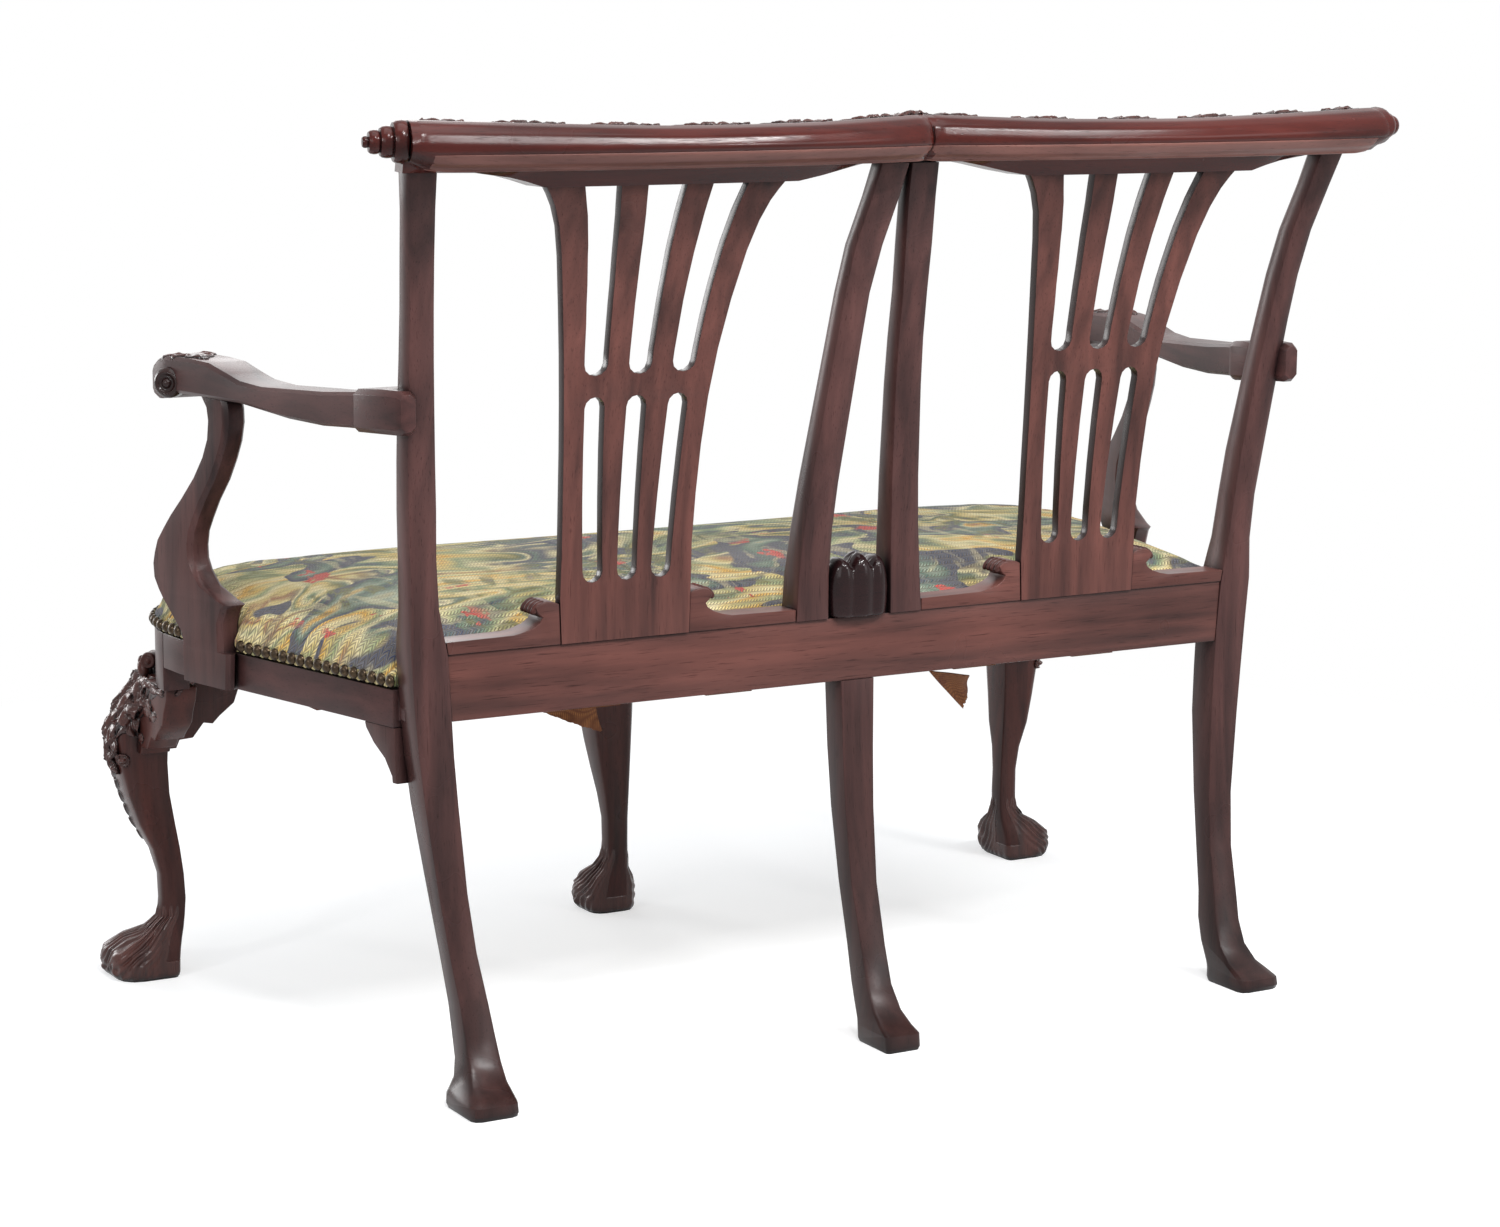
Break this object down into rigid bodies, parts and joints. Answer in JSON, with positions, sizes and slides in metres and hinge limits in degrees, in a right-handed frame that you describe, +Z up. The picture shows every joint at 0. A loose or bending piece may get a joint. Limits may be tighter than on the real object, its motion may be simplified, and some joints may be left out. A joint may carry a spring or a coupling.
{
  "type": "chair back settee",
  "caption": "Double chair-back settee: rolled crest rail with turned ears, pierced splats, scrolled open arms, cabriole paw-foot legs and a stuffed seat.",
  "frame": {"origin": "centre of the footprint on the floor, below the middle of the bounding box", "axes": "+X along the settee to the sitter's left, +Y out of its back, +Z up"},
  "size_m": [1.272, 0.7866, 0.9862],
  "materials": {
    "mahogany": "polished, dark red-brown, softly glossy",
    "needlework": "matte woven wool, multicoloured landscape pattern",
    "webbing": "matte woven jute"
  },
  "bodies": {
    "root": {"arm_left": "mahogany", "arm_right": "mahogany", "arm_support_left": "mahogany", "arm_support_right": "mahogany", "carved_block": "mahogany", "corner_block_left": "mahogany", "corner_block_right": "mahogany", "crest_ear_left": "mahogany", "crest_ear_right": "mahogany", "crest_rail": "mahogany", "front_leg_left": "mahogany", "front_leg_middle": "mahogany", "front_leg_right": "mahogany", "front_seat_rail": "mahogany", "inner_stile_left": "mahogany", "inner_stile_right": "mahogany", "knee_bracket_front_left": "mahogany", "knee_bracket_front_right": "mahogany", "knee_bracket_middle_left": "mahogany", "knee_bracket_middle_right": "mahogany", "knee_bracket_side_left": "mahogany", "knee_bracket_side_right": "mahogany", "rear_bracket_left": "mahogany", "rear_bracket_right": "mahogany", "rear_leg_middle": "mahogany", "rear_leg_stile_left": "mahogany", "rear_leg_stile_right": "mahogany", "rear_seat_rail": "mahogany", "shoe_left_inner": "mahogany", "shoe_left_outer": "mahogany", "shoe_right_inner": "mahogany", "shoe_right_outer": "mahogany", "side_seat_rail_left": "mahogany", "side_seat_rail_right": "mahogany", "splat_left": "mahogany", "splat_right": "mahogany", "stuffed_seat": "needlework", "webbing_cross_1": "webbing", "webbing_cross_2": "webbing", "webbing_long_1": "webbing", "webbing_long_2": "webbing", "webbing_long_3": "webbing", "webbing_long_4": "webbing", "webbing_tail_left": "webbing", "webbing_tail_right": "webbing"}
  },
  "joints": []
}
